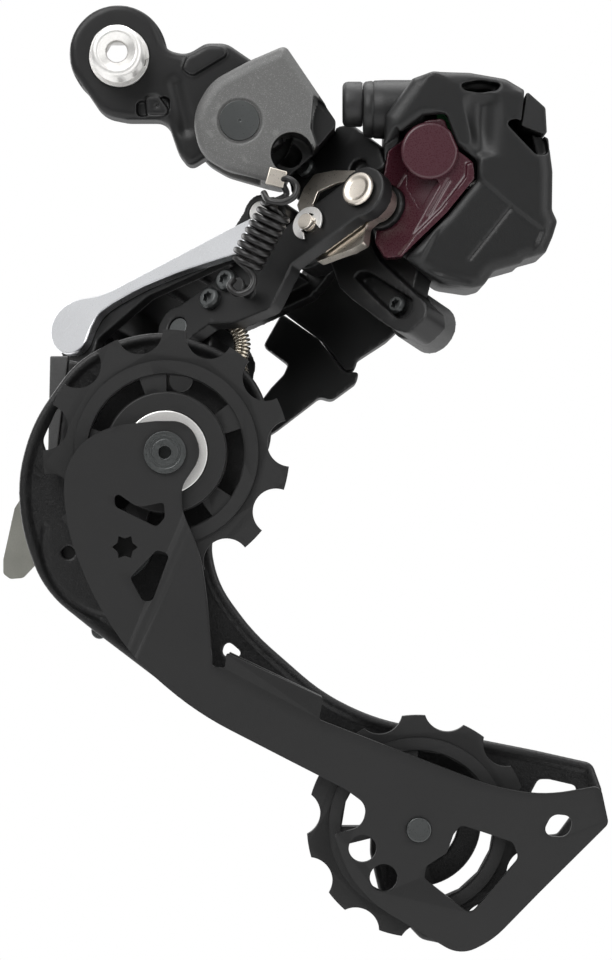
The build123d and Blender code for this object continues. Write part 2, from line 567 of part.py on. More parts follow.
def p_housing():
    """Clutch housing and the neck that carries both lower pivots."""
    hub = rod(CAGE_AXIS, 14.0, -4.2, 19.0)
    neck = link_slab([
        (42.0, -3.4, 2), (49.0, -4.4, 2), (57.0, -5.0, 3), (66.0, -13.0, 3), (69.5, -7.0, 3), (75.0, 12.0, 4),
        (78.0, 32.0, 4), (62.0, 32.0, 4), (50.0, 16.0, 4), (41.6, 3.6, 2),
    ], -20.4, -5.2)
    body = hub + neck
    body += pin(OUTER_P, 4.2, -20.4, -1.4)
    body -= link_slab([(30, -14.1, 0), (80, -14.1, 0), (80, -30, 0), (30, -30, 0)], -30, 5)
    body -= rod(CAGE_AXIS, 12.0, 4.0, 30.0)
    body -= rod(CAGE_AXIS, 10.6, -2.2, 5.0)
    body -= rod(CAGE_AXIS, 5.05, -8, 30)
    body -= slab([(-40, -40, 0), (90, -40, 0), (90, -140, 0), (-40, -140, 0)], -40, -4.2)
    body -= slab([(-40, -40, 0), (90, -40, 0), (90, -140, 0), (-40, -140, 0)], 34.0, 60)
    body -= rod(CAGE_AXIS, 14.05, 19.0, 40)
    boss = slab([
        (-19.0, -89.0, 2), (-14.0, -83.5, 2), (-8.0, -85.0, 0.5), (-8.0, -96.0, 0.5), (-14.0, -96.0, 2),
    ], 16.0, 21.5)
    body += boss - rod(CAGE_AXIS, 14.05, 19.0, 30) - rod(CAGE_AXIS, 12.0, 4.0, 30.0)
    body += slab([(-1.7, -105.0, 0.3), (-1.7, -110.8, 0.5), (2.5, -110.8, 0.5), (2.5, -105.0, 0.3)], -4.2, 0.4)
    body += slab([
        (-10.6, -57.2, 0.3), (-4.0, -58.5, 0.3), (-4.0, -80.5, 0.3), (-12.5, -84.0, 0.3), (-12.4, -74.0, 0.3),
    ], 9.6, 11.6)
    body -= rod(LEVER_AXIS, 1.6, 10, 30)
    for spot in (INNER_P, OUTER_P):
        body -= pin(spot, PIN_R, -40, 5)
    for item in cover_screw_list():
        body -= item
    return body - p_tab()


def p_inner_pin():
    """Fixed in the P-body; the inner link's eye turns on it with clearance."""
    return pin(INNER_P, PIN_R - 0.1, -20.4, -1.3)


def pivot_bush():
    """Black bush ring round the lower inner pivot."""
    return tube(INNER_P, 3.6, PIN_R, -5.1, -4.6)


def clutch_cover():
    """Outboard cover of the clutch housing."""
    body = rod(CAGE_AXIS, 14.0, 19.0, 21.6) - rod(CAGE_AXIS, 5.3, 18, 20.2)
    for item in cover_screw_list():
        body -= item
    return body - rod(LEVER_AXIS, 1.6 + FIT, 18, 23)


def cover_screw_list():
    shape = Rot(-90, 0, 0) * screw(1.1, 1.0, 0.7, 5.0)
    spots = []
    for i in range(3):
        a = math.radians(20 + 120 * i)
        spots.append(Pos(12.7 * math.cos(a), 21.6, CAGE_AXIS[1] + 12.7 * math.sin(a)) * shape)
    return spots


def cover_screws():
    return Compound(cover_screw_list())


def clutch_body():
    """One-way roller clutch around the cage axle."""
    return ring(CAGE_AXIS, 8.2, 5.05, 6.0, 17.5)


def friction_band():
    """Split steel band that grips the one-way clutch."""
    band = ring(CAGE_AXIS, 9.4, 8.25, 7.0, 15.0)
    return band - slab([(-14, -90.8, 0), (-6, -90.8, 0), (-6, -93.2, 0), (-14, -93.2, 0)], 5, 20)


def cage_spring():
    return spiral(CAGE_AXIS, 8.6, 1.5, 1.8, 2.4, -0.9)


def p_tab():
    """Flat grey strip on the front edge of the P-body."""
    return slab([(-14.0, -56.5, 0.3), (-10.4, -56.5, 0.3), (-12.6, -75.2, 0.3), (-14.4, -75.2, 0.3)], 9.4, 12.0)


def balance_spring():
    """Small bent coil between the P-body and the inner link."""
    path = Spline((0, 0, 0), (1.5, 0, -4), (0.8, 0, -8), (2.0, 0, -12.5))
    start = Plane(origin=path @ 0, z_dir=path % 0)
    body = sweep(start * Circle(1.65), path=path)
    return Pos(21.8, 6.0, -50.2) * body


def clutch_lever():
    """Grey on-off lever of the clutch."""
    blade = slab([
        (-18.6, -82.0, 1), (-21.2, -86.0, 1), (-23.4, -96.0, 1), (-23.4, -98.8, 1), (-22.0, -99.8, 1),
        (-19.6, -99.6, 1), (-15.8, -95.6, 1),
    ], 13.2, 15.2)
    hub = rod(LEVER_AXIS, 4.0, 21.9, 24.0)
    arm = slab([(-20.8, -86.0, 1), (-14.6, -85.2, 1), (-14.6, -93.0, 1), (-22.0, -95.6, 1)], 21.9, 23.6)
    stem = slab([(-21.8, -88.5, 0.3), (-19.2, -86.5, 0.3), (-19.6, -94.5, 0.3), (-22.4, -95.0, 0.3)], 13.2, 23.6)
    return blade + hub + arm + stem - rod(LEVER_AXIS, 1.6 + FIT, 10, 30)


def lever_pivot():
    return rod(LEVER_AXIS, 1.6, 19.0, 24.6)


# ------------------------------------------------------------------ cage

def outer_plate():
    """Outboard cage plate with a raised rim and its windows."""
    points = [
        (-7.9, -58.1, 40), (0.2, -53.8, 40), (8.8, -52.3, 40), (20.7, -56.2, 40), (26.5, -62.0, 40), (30.0, -72.0, 40),
        (24.0, -84.0, 40), (17.2, -90.5, 40), (18.8, -100.0, 40), (25.6, -109.3, 40), (38.7, -120.8, 40),
        (48.7, -125.6, 40), (78.9, -131.6, 40), (89.6, -134.0, 2), (91.4, -139.0, 2), (91.2, -144.5, 1),
        (66.0, -169.0, 3), (57.3, -167.2, 3), (49.5, -159.0, 6), (47.6, -151.0, 6), (47.8, -141.6, 3),
        (44.0, -137.4, 6), (30.0, -131.6, 40), (10.0, -120.0, 40), (-4.6, -108.9, 40), (-14.0, -101.4, 40),
        (-18.1, -90.0, 40), (-18.9, -80.0, 40), (-16.0, -69.5, 40),
    ]
    body = slab(points, OUTER_FACE, OUTER_BACK)
    window = slab([
        (-13.0, -76.5, 1), (-14.2, -73.0, 2), (-11.6, -67.2, 3), (-7.6, -64.2, 1), (-8.2, -70.0, 2), (-9.6, -76.0, 1),
    ], -10, 0)
    body -= window
    body -= slab([(20.5, -110.5, 1), (24.8, -114.2, 1), (19.5, -113.8, 1)], -10, 0)
    body -= slab([
        (78.0, -139.6, 1), (79.4, -137.0, 1), (81.4, -137.0, 1), (86.6, -138.2, 1), (86.4, -142.8, 1), (83.0, -147.4, 1),
        (80.2, -147.6, 1), (78.8, -145.0, 1),
    ], -10, 0)
    body -= rod((-9.3, -94.2), 1.25, -10, 0)
    body -= rod((11.9, -61.6), 2.2, -10, 0)
    opening = slab([
        (62.0, -141.6, 1), (76.8, -146.4, 1.4), (78.0, -150.6, 1.4), (67.4, -163.0, 1.4), (55.6, -155.6, 1), (53.6, -151.8, 1),
    ], -10, 0)
    boss = rod(TENSION, 5.8, -10, 0) + ring(TENSION, 12.2, 7.8, -10, 0)
    body -= opening - boss
    groove_wide = ring(CAGE_AXIS, 14.6, 13.4, -7.8, -6.3)
    body -= groove_wide & slab([(-20, -84, 0), (-20, -115, 0), (6, -115, 0), (-4, -96, 0)], -10, 0)
    body -= rod(GUIDE, 2.45, -10, 0)
    body -= rod(TENSION, 2.45, -10, 0)
    body -= rod(CAGE_AXIS, 5.0, -10, 0)
    return body


def inner_plate():
    """Wheel-side cage plate with its folded flange and cut-outs."""
    body = slab([
        (-9.4, -80.0, 40), (-6.6, -74.0, 20), (-1.0, -70.6, 20), (7.6, -69.6, 3), (13.8, -69.6, 8), (16.6, -75.6, 8),
        (12.6, -81.6, 4), (12.6, -86.0, 8), (16.2, -94.5, 30), (17.4, -103.4, 60), (18.3, -115.0, 0.6),
        (20.6, -115.3, 0.6), (20.8, -112.4, 0.4), (38.7, -120.7, 0.5), (38.0, -124.8, 0.5), (59.2, -133.0, 80),
        (70.6, -137.4, 40), (80.0, -138.8, 30), (90.0, -137.0, 1.5), (91.5, -144.0, 1.5), (78.5, -156.9, 10),
        (70.0, -165.6, 20), (64.0, -168.4, 8), (48.5, -159.2, 20), (43.4, -153.6, 20), (40.8, -146.0, 0.6),
        (45.9, -144.6, 3), (46.9, -140.6, 3), (42.8, -137.6, 6), (33.0, -132.6, 60), (15.3, -123.5, 60),
        (3.6, -113.5, 60), (-3.8, -102.2, 60), (-8.5, -90.1, 60),
    ], INNER_FACE, INNER_BACK)
    body -= slab([
        (0.2, -82.6, 1), (0.2, -85.4, 1.2), (8.0, -89.2, 1), (9.5, -87.4, 1), (9.3, -84.6, 0.6), (4.5, -85.6, 3),
    ], -22, -16)
    body -= slab([(8.0, -93.4, 1), (10.4, -94.2, 1), (7.2, -102.9, 1.2), (5.4, -102.9, 1.2), (3.0, -98.6, 1)], -22, -16)
    body -= slab([
        (64.2, -144.2, 1), (73.8, -147.4, 1.4), (74.9, -150.4, 1.4), (66.0, -160.8, 1.4), (57.4, -154.2, 1), (57.8, -151.8, 0.8),
        (61.6, -149.4, 1.5), (62.8, -146.0, 1),
    ], -22, -16)
    hole = extrude(side_plane(-16) * (Pos(2.1, -92.9) * star(2.35, 1.6)), amount=6)
    body -= hole
    for spot in ((46.0, -148.6), (49.9, -154.0)):
        body -= rod(spot, 2.55, -22, -16)
    body -= slab([(79.0, -146.2, 2), (81.0, -142.2, 2), (85.2, -142.6, 2), (84.0, -146.6, 2)], -22, -16)
    body -= rod(GUIDE, 2.6, -22, -16)
    body -= rod(TENSION, 2.35, -22, -16)
    flange = slab([
        (21.2, -112.3, 0.2), (38.5, -120.6, 0.2), (38.1, -121.8, 0.2), (21.6, -113.8, 0.2),
    ], INNER_BACK, INNER_BACK + 2.2)
    return body + flange


def cage_axle():
    """Hollow axle on which the cage swings in the clutch housing."""
    body = rod(CAGE_AXIS, 6.8, -8.4, OUTER_FACE) + rod(CAGE_AXIS, 5.0, OUTER_FACE, 18.6)
    return body - rod(CAGE_AXIS, 2.0, -9, 12)


def stop_pin():
    """Pin behind the outer plate that meets the housing's stop."""
    return rod((-3.5, -109.0), 1.6, OUTER_BACK, 0.5)


def guide_bolt():
    body = rod(GUIDE, 2.35, INNER_BACK, OUTER_BACK + 1.0) + rod(GUIDE, 3.9, -19.9, INNER_FACE)
    body += rod(GUIDE, 2.55, INNER_FACE, INNER_BACK)
    body -= rod(GUIDE, 1.2, -21, -15.5)
    return body - ring(GUIDE, 3.0, 2.4, -20.5, -19.6)


def tension_bolt():
    body = rod(TENSION, 2.3, -19.7, OUTER_BACK + 0.2) + rod(TENSION, 3.6, OUTER_BACK, OUTER_BACK + 1.6)
    return body - rod(TENSION, 1.1, OUTER_BACK - 1.0, OUTER_BACK + 3)


# ------------------------------------------------------------------ pulleys

def toothed_disc(centre, tip_r, root_r, phase, half):
    """Sprocket disc with tall narrow teeth and round valleys."""
    body = rod(centre, tip_r, PULLEY_Y - half, PULLEY_Y + half)
    step = 360 / TEETH
    gap_r = 4.35
    for i in range(TEETH):
        a = math.radians(phase + step * (i + 0.5))
        c = (centre[0] + (root_r + gap_r) * math.cos(a), centre[1] + (root_r + gap_r) * math.sin(a))
        body -= rod(c, gap_r, PULLEY_Y - 5, PULLEY_Y + 5)
    return body


def windows(centre, r_out, r_in, count, phase, span):
    """Ring of kidney-shaped openings."""
    holes = []
    for i in range(count):
        a0 = math.radians(phase + 360 / count * i - span / 2)
        a1 = math.radians(phase + 360 / count * i + span / 2)
        corners = []
        for k in range(5):
            a = a0 + (a1 - a0) * k / 4
            corners.append((centre[0] + r_out * math.cos(a), centre[1] + r_out * math.sin(a), 0))
        for k in range(5):
            a = a1 - (a1 - a0) * k / 4
            corners.append((centre[0] + r_in * math.cos(a), centre[1] + r_in * math.sin(a), 0))
        holes.append(slab(corners, PULLEY_Y - 6, PULLEY_Y + 6))
    return holes


def pulley(centre, tip_r, root_r, phase, band, hub_r, bore_r, openings):
    body = toothed_disc(centre, tip_r, root_r, phase, 1.5)
    body += ring(centre, band[1], band[0], PULLEY_Y - 2.2, PULLEY_Y + 2.2)
    for hole in windows(centre, band[0] - 0.2, hub_r, *openings):
        body -= hole
    body += rod(centre, hub_r, PULLEY_Y - 3.4, PULLEY_Y + 3.4)
    return body - rod(centre, bore_r, -30, 0)


def guide_pulley():
    return pulley(GUIDE, GUIDE_TIP_R, GUIDE_ROOT_R, 20.7, (14.8, 17.2), 11.4, 7.8, (5, 64, 52))


def tension_pulley():
    return pulley(TENSION, TENSION_TIP_R, TENSION_ROOT_R, 26.6, (14.4, 16.6), 5.8, 5.0, (4, 52, 76))


def bearing(centre, r_out, bore_r):
    """Steel race pressed into a pulley; it turns on the bolt."""
    return ring(centre, r_out, bore_r + FIT, PULLEY_Y - 4.6, PULLEY_Y + 4.6)


def guide_bearing():
    return bearing(GUIDE, 7.8, 2.35)


def tension_bearing():
    return bearing(TENSION, 5.0, 2.3)


def caps(centre, r_out, r_in):
    """Pair of thin seals, one on each side of a pulley's hub."""
    near = ring(centre, r_out, r_in, PULLEY_Y - 4.1, PULLEY_Y - 3.4)
    far = ring(centre, r_out, r_in, PULLEY_Y + 3.4, PULLEY_Y + 4.1)
    return Compound([near, far])


def guide_caps():
    return caps(GUIDE, 11.2, 7.9)


def tension_caps():
    return caps(TENSION, 5.8, 5.1)


def main():
    os.makedirs("parts", exist_ok=True)
    makers = [
        b_link, mount_bolt, bolt_snap_ring, bolt_sleeve, b_axle, b_spring,
        base_housing, base_bracket, lug_bush, motor_shell, motor_back, gear_case, gear_cap, side_cover,
        port_barrel, port_plug, motor, motor_worm, drive_gear, circuit_board, inner_pin, outer_pin,
        spring_post, base_screws, lower_guard, guard_tail,
        inner_link, saver_plate, drive_arm, clip_pin, e_clip, limit_screws, return_spring,
        outer_frame, outer_trim, p_outer_pin,
        p_housing, p_inner_pin, pivot_bush, clutch_cover, cover_screws, clutch_body, friction_band,
        cage_spring, p_tab, balance_spring, clutch_lever, lever_pivot,
        outer_plate, inner_plate, cage_axle, stop_pin, guide_bolt, tension_bolt,
        guide_pulley, guide_bearing, guide_caps, tension_pulley, tension_bearing, tension_caps,
    ]
    for make in makers:
        save(make.__name__, make())


main()
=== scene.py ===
import json
import math

import bmesh
import bpy
import numpy as np
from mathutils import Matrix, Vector

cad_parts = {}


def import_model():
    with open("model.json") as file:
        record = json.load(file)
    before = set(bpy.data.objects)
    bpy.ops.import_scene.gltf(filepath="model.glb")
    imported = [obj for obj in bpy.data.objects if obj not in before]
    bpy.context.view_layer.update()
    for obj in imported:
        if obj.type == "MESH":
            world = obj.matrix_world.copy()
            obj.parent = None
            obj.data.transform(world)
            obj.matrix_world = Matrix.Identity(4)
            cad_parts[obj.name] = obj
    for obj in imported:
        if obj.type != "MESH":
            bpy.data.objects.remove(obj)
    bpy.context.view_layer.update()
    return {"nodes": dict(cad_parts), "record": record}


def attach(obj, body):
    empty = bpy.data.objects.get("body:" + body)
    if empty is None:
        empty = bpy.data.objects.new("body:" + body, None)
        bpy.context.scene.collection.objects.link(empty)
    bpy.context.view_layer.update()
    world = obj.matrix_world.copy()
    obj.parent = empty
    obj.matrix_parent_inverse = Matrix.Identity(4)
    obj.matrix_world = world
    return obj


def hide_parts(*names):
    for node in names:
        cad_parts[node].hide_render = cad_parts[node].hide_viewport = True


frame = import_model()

MM = 0.001
NODES = frame["nodes"]
BODY_NODES = frame["record"]["behaviour"]["bodies"]
NODE_BODY = {n: b for b, names in BODY_NODES.items() for n in names}
NODE_SLOT = {s["node"]: s["material_slot"] for s in frame["record"]["subparts"]}

# Link frame: x along the links, z along the pivot pins.
LINK_O = Vector((45.33, -9.0, -25.84)) * MM
LINK_X = Vector((-0.7689, 0.3386, -0.5424)).normalized()
LINK_Z = Vector((-0.5621, -0.7622, 0.3211)).normalized()
LINK_Y = LINK_Z.cross(LINK_X)


def link(x, y, c=0.0):
    """World point, in metres, of link-frame millimetres."""
    return LINK_O + (LINK_X * x + LINK_Y * y + LINK_Z * c) * MM


def at(x, y, z):
    return Vector((x, y, z)) * MM


# ------------------------------------------------------------------ camera, light, floor

def camera():
    data = bpy.data.cameras.new("camera")
    obj = bpy.data.objects.new("camera", data)
    bpy.context.scene.collection.objects.link(obj)
    obj.location = at(35.56, -612.0, -80.5)
    obj.rotation_euler = (math.radians(90), 0, 0)
    data.sensor_width = 36
    data.lens = 3210 / 960 * 36
    data.clip_start = 0.01
    data.clip_end = 20
    bpy.context.scene.camera = obj


def area_light(name, place, target, size, power, colour=(1, 1, 1)):
    data = bpy.data.lights.new(name, "AREA")
    data.shape = "RECTANGLE"
    data.size, data.size_y = size
    data.energy = power
    data.color = colour
    obj = bpy.data.objects.new(name, data)
    bpy.context.scene.collection.objects.link(obj)
    obj.location = place
    obj.rotation_euler = (Vector(target) - Vector(place)).to_track_quat("-Z", "Y").to_euler()


def world():
    scene_world = bpy.data.worlds.new("studio")
    bpy.context.scene.world = scene_world
    scene_world.use_nodes = True
    tree = scene_world.node_tree
    tree.nodes.clear()
    out = tree.nodes.new("ShaderNodeOutputWorld")
    mix = tree.nodes.new("ShaderNodeMixShader")
    shiny = tree.nodes.new("ShaderNodeMixShader")
    seen = tree.nodes.new("ShaderNodeBackground")
    fill = tree.nodes.new("ShaderNodeBackground")
    tent = tree.nodes.new("ShaderNodeBackground")
    path = tree.nodes.new("ShaderNodeLightPath")
    place = tree.nodes.new("ShaderNodeTexCoord")
    split = tree.nodes.new("ShaderNodeSeparateXYZ")
    ramp = tree.nodes.new("ShaderNodeMapRange")
    tree.links.new(place.outputs["Generated"], split.inputs[0])
    tree.links.new(split.outputs["Z"], ramp.inputs["Value"])
    ramp.inputs["From Min"].default_value = -0.7
    ramp.inputs["From Max"].default_value = 0.8
    ramp.inputs["To Min"].default_value = 0.12
    ramp.inputs["To Max"].default_value = 0.95
    front = tree.nodes.new("ShaderNodeMapRange")
    front.inputs["From Min"].default_value = -0.95
    front.inputs["From Max"].default_value = -0.2
    front.inputs["To Min"].default_value = 0.42
    front.inputs["To Max"].default_value = 1.0
    tree.links.new(split.outputs["Y"], front.inputs["Value"])
    level = tree.nodes.new("ShaderNodeMath")
    level.operation = "MULTIPLY"
    tree.links.new(ramp.outputs["Result"], level.inputs[0])
    tree.links.new(front.outputs["Result"], level.inputs[1])
    tree.links.new(level.outputs[0], tent.inputs[1])
    tent.inputs[0].default_value = (1, 1, 1, 1)
    seen.inputs[0].default_value = (1, 1, 1, 1)
    seen.inputs[1].default_value = 1.0
    fill.inputs[0].default_value = (1, 1, 1, 1)
    fill.inputs[1].default_value = 0.26
    tree.links.new(path.outputs["Is Camera Ray"], mix.inputs[0])
    tree.links.new(path.outputs["Is Glossy Ray"], shiny.inputs[0])
    tree.links.new(fill.outputs[0], shiny.inputs[1])
    tree.links.new(tent.outputs[0], shiny.inputs[2])
    tree.links.new(shiny.outputs[0], mix.inputs[1])
    tree.links.new(seen.outputs[0], mix.inputs[2])
    tree.links.new(mix.outputs[0], out.inputs[0])


def studio():
    camera()
    world()
    bpy.context.scene.view_settings.view_transform = "Standard"
    centre = (0.035, 0.0, -0.08)
    area_light("key", (-0.35, -0.75, 0.55), centre, (0.7, 0.7), 7.5)
    area_light("fill", (0.75, -0.65, 0.05), centre, (0.6, 0.9), 3.6)
    area_light("top", (0.1, 0.15, 0.8), centre, (0.9, 0.7), 6.5)
    area_light("rim", (-0.6, 0.55, 0.1), centre, (0.5, 0.9), 4)
    area_light("low", (0.2, -0.5, -0.75), centre, (0.8, 0.5), 1.6)
    bm = bmesh.new()
    bmesh.ops.create_circle(bm, cap_ends=True, radius=1.2, segments=96)
    mesh = bpy.data.meshes.new("floor")
    bm.to_mesh(mesh)
    bm.free()
    floor = bpy.data.objects.new("floor", mesh)
    floor.location = (0.035, 0, -0.42)
    bpy.context.scene.collection.objects.link(floor)
    mat = bpy.data.materials.new("floor")
    mat.use_nodes = True
    shader = mat.node_tree.nodes["Principled BSDF"]
    shader.inputs["Base Color"].default_value = (0.86, 0.86, 0.86, 1)
    shader.inputs["Roughness"].default_value = 0.9
    shader.inputs["Emission Color"].default_value = (1, 1, 1, 1)
    shader.inputs["Emission Strength"].default_value = 0.35
    floor.data.materials.append(mat)


# ------------------------------------------------------------------ materials

def surface(name, colour, metallic=0.0, rough=0.5, vary=0.15, grain=4000, bump=0.15, wear=0.0,
            wear_colour=None,
            sparkle=0.0, sparkle_scale=6000, spec=0.5, coat=0.0, coat_rough=0.2, blotch=90, rough_vary=0.12,
            depth=0.00005,
            brushed=None):
    """Procedural material: blotchy colour, fine grain, bump, roughness variation, edge wear and optional sparkle."""
    mat = bpy.data.materials.new(name)
    mat.use_nodes = True
    tree = mat.node_tree
    new, join = tree.nodes.new, tree.links.new
    shader = tree.nodes["Principled BSDF"]
    shader.inputs["Metallic"].default_value = metallic
    shader.inputs["Specular IOR Level"].default_value = spec
    shader.inputs["Coat Weight"].default_value = coat
    shader.inputs["Coat Roughness"].default_value = coat_rough
    place = new("ShaderNodeTexCoord")
    source = place.outputs["Object"]
    if brushed:
        stretch = new("ShaderNodeMapping")
        stretch.inputs["Scale"].default_value = brushed
        join(source, stretch.inputs["Vector"])
        source = stretch.outputs["Vector"]

    def noise(scale, detail=3.0, ratio=0.55):
        node = new("ShaderNodeTexNoise")
        node.inputs["Scale"].default_value = scale
        node.inputs["Detail"].default_value = detail
        node.inputs["Roughness"].default_value = ratio
        join(source, node.inputs["Vector"])
        return node.outputs["Fac"]

    def spread(value, low, high, start=0.0, end=1.0):
        node = new("ShaderNodeMapRange")
        node.inputs["From Min"].default_value = start
        node.inputs["From Max"].default_value = end
        node.inputs["To Min"].default_value = low
        node.inputs["To Max"].default_value = high
        join(value, node.inputs["Value"])
        return node.outputs["Result"]

    def mix(fac, a, b):
        node = new("ShaderNodeMix")
        node.data_type = "RGBA"
        join(fac, node.inputs["Factor"])
        for value, key in ((a, 6), (b, 7)):
            if isinstance(value, bpy.types.NodeSocket):
                join(value, node.inputs[key])
            else:
                node.inputs[key].default_value = (*value, 1)
        return node.outputs[2]

    dark = tuple(c * (1 - vary) for c in colour)
    light = tuple(min(1, c * (1 + vary)) for c in colour)
    blotches = noise(blotch)
    fine = noise(grain, 4.0, 0.6)
    tone = mix(spread(blotches, 0, 1, 0.3, 0.7), dark, light)
    fleck = tuple(c * 0.75 for c in colour)
    tone = mix(spread(fine, 0.0, 0.35, 0.45, 0.7), tone, fleck)
    if sparkle:
        cells = new("ShaderNodeTexVoronoi")
        cells.inputs["Scale"].default_value = sparkle_scale
        join(source, cells.inputs["Vector"])
        split = new("ShaderNodeSeparateColor")
        join(cells.outputs["Color"], split.inputs["Color"])
        bright = tuple(min(1, c * 2.2 + 0.12) for c in colour)
        tone = mix(spread(split.outputs["Red"], 0.0, sparkle, 0.82, 0.98), tone, bright)
    if wear:
        edge = new("ShaderNodeNewGeometry").outputs["Pointiness"]
        mask = spread(edge, 0, wear, 0.505, 0.56)
        tone = mix(mask, tone, wear_colour or tuple(min(1, c * 1.8 + 0.03) for c in colour))
    join(tone, shader.inputs["Base Color"])
    gloss = spread(fine, rough - rough_vary, rough + rough_vary, 0.3, 0.7)
    join(gloss, shader.inputs["Roughness"])
    node = new("ShaderNodeBump")
    node.inputs["Strength"].default_value = bump
    node.inputs["Distance"].default_value = depth
    join(fine, node.inputs["Height"])
    join(node.outputs["Normal"], shader.inputs["Normal"])
    return mat


MATERIALS = {
    "black_satin_alloy": surface("black_satin_alloy", (0.0068, 0.0068, 0.007), 0.0, 0.4, spec=0.36, bump=0.25,
                                 wear=0.3, rough_vary=0.08),
    "bolt_steel": surface("bolt_steel", (0.8, 0.79, 0.77), 0.9, 0.42, bump=0.1, rough_vary=0.06, vary=0.04),
    "dark_steel": surface("dark_steel", (0.1, 0.105, 0.105), 0.9, 0.36, bump=0.2),
    "spring_steel": surface("spring_steel", (0.55, 0.5, 0.42), 1.0, 0.27, bump=0.15),
    "spring_black": surface("spring_black", (0.0065, 0.006, 0.006), 0.0, 0.33, bump=0.08, spec=0.45,
                            vary=0.05, rough_vary=0.05),
    "grey_paint": surface("grey_paint", (0.098, 0.098, 0.096), 0.0, 0.45, sparkle=0.3, sparkle_scale=9000,
                          bump=0.35, wear=0.3, vary=0.02),
    "grey_cast": surface("grey_cast", (0.075, 0.075, 0.075), 0.3, 0.5, bump=0.5),
    "black_plastic": surface("black_plastic", (0.0068, 0.007, 0.0072), 0.0, 0.42, spec=0.36, bump=0.35,
                             wear=0.2, rough_vary=0.08),
    "maroon_plastic": surface("maroon_plastic", (0.042, 0.008, 0.014), 0.0, 0.3, bump=0.06, spec=0.5,
                              wear=0.2, vary=0.05),
    "black_rubber": surface("black_rubber", (0.009, 0.009, 0.0095), 0.0, 0.5, bump=0.3),
    "bright_steel": surface("bright_steel", (0.9, 0.89, 0.87), 0.85, 0.34, bump=0.08, vary=0.05,
                            rough_vary=0.06),
    "brass_gear": surface("brass_gear", (0.6, 0.42, 0.16), 1.0, 0.3, bump=0.1),
    "board_green": surface("board_green", (0.02, 0.12, 0.04), 0.0, 0.3, bump=0.1),
    "champagne_steel": surface("champagne_steel", (0.78, 0.72, 0.64), 1.0, 0.32, bump=0.1, vary=0.06,
                               rough_vary=0.06),
    "polished_trim": surface("polished_trim", (0.74, 0.75, 0.77), 1.0, 0.3, bump=0.05, rough_vary=0.04,
                             vary=0.04),
    "lever_grey": surface("lever_grey", (0.22, 0.22, 0.195), 0.2, 0.4, bump=0.2),
    "black_carbon_plate": surface("black_carbon_plate", (0.0066, 0.0066, 0.0068), 0.0, 0.4, spec=0.36,
                                  bump=0.8, depth=0.00008, sparkle=0.05, grain=2600),
    "black_cage_plate": surface("black_cage_plate", (0.0066, 0.0066, 0.0067), 0.0, 0.4, spec=0.36, bump=0.25,
                                wear=0.25, rough_vary=0.06),
    "pulley_black": surface("pulley_black", (0.0072, 0.0072, 0.0073), 0.0, 0.42, spec=0.36, bump=0.3,
                            wear=0.25, rough_vary=0.07),
}


def paint_nodes():
    for name, obj in NODES.items():
        mat = MATERIALS[NODE_SLOT[name]]
        for i in range(max(1, len(obj.material_slots))):
            if obj.material_slots:
                obj.material_slots[i].material = mat
            else:
                obj.data.materials.append(mat)


# ------------------------------------------------------------------ mesh helpers

def add_object(name, mesh, body, slot_name, mat, *replaced):
    obj = bpy.data.objects.new(name, mesh)
    bpy.context.scene.collection.objects.link(obj)
    mesh.materials.clear()
    mesh.materials.append(mat)
    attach(obj, body)
    if replaced:
        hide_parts(*replaced)
    return obj


def shade(mesh, degrees=32):
    mesh.shade_smooth()
    mesh.set_sharp_from_angle(angle=math.radians(degrees))


def cad_bmesh(node):
    """Welded copy of a CAD node's mesh."""
    bm = bmesh.new()
    bm.from_mesh(NODES[node].data)
    bmesh.ops.remove_doubles(bm, verts=bm.verts, dist=2e-6)
    return bm


def crisp(node, width=0.25, segments=2, angle=38, name=None, mat=None, edit=None):
    """CAD node with its flat faces merged and its sharp edges rounded."""
    bm = cad_bmesh(node)
    bmesh.ops.dissolve_limit(bm, angle_limit=math.radians(0.6), verts=bm.verts, edges=bm.edges,
                             delimit={"NORMAL"})
    if edit:
        edit(bm)
    sharp = [e for e in bm.edges if len(e.link_faces) == 2 and e.calc_face_angle() > math.radians(angle)]
    bmesh.ops.bevel(bm, geom=sharp, offset=width * MM, offset_type="OFFSET", segments=segments, profile=0.5,
                    affect="EDGES", clamp_overlap=True)
    mesh = bpy.data.meshes.new(name or node + "_shape")
    bm.to_mesh(mesh)
    bm.free()
    mesh.validate()
    shade(mesh)
    slot_name = NODE_SLOT[node]
    return add_object(name or node + "_shape", weighted(mesh), NODE_BODY[node], slot_name,
                      mat or MATERIALS[slot_name],
                      node)


def weighted(mesh):
    """Copy of a mesh whose normals follow its large faces."""
    obj = bpy.data.objects.new("work", mesh)
    bpy.context.scene.collection.objects.link(obj)
    mod = obj.modifiers.new("normals", "WEIGHTED_NORMAL")
    mod.keep_sharp = True
    mod.weight = 100
    result = evaluated(obj)
    bpy.data.objects.remove(obj)
    result.name = mesh.name
    return result


def evaluated(obj):
    graph = bpy.context.evaluated_depsgraph_get()
    mesh = bpy.data.meshes.new_from_object(obj.evaluated_get(graph), depsgraph=graph)
    return mesh


def remeshed(bm, voxel, smooth, factor=0.5, keep=1.0):
    """Even dense mesh of the same solid with softened edges."""
    mesh = bpy.data.meshes.new("work")
    bm.to_mesh(mesh)
    bm.free()
    obj = bpy.data.objects.new("work", mesh)
    bpy.context.scene.collection.objects.link(obj)
    mod = obj.modifiers.new("voxels", "REMESH")
    mod.mode = "VOXEL"
    mod.voxel_size = voxel * MM
    mod.use_smooth_shade = True
    if smooth:
        mod = obj.modifiers.new("soft", "SMOOTH")
        mod.factor = factor
        mod.iterations = smooth
    if keep < 1.0:
        mod = obj.modifiers.new("fewer", "DECIMATE")
        mod.ratio = keep
    result = evaluated(obj)
    bpy.data.objects.remove(obj)
    bpy.data.meshes.remove(mesh)
    return result


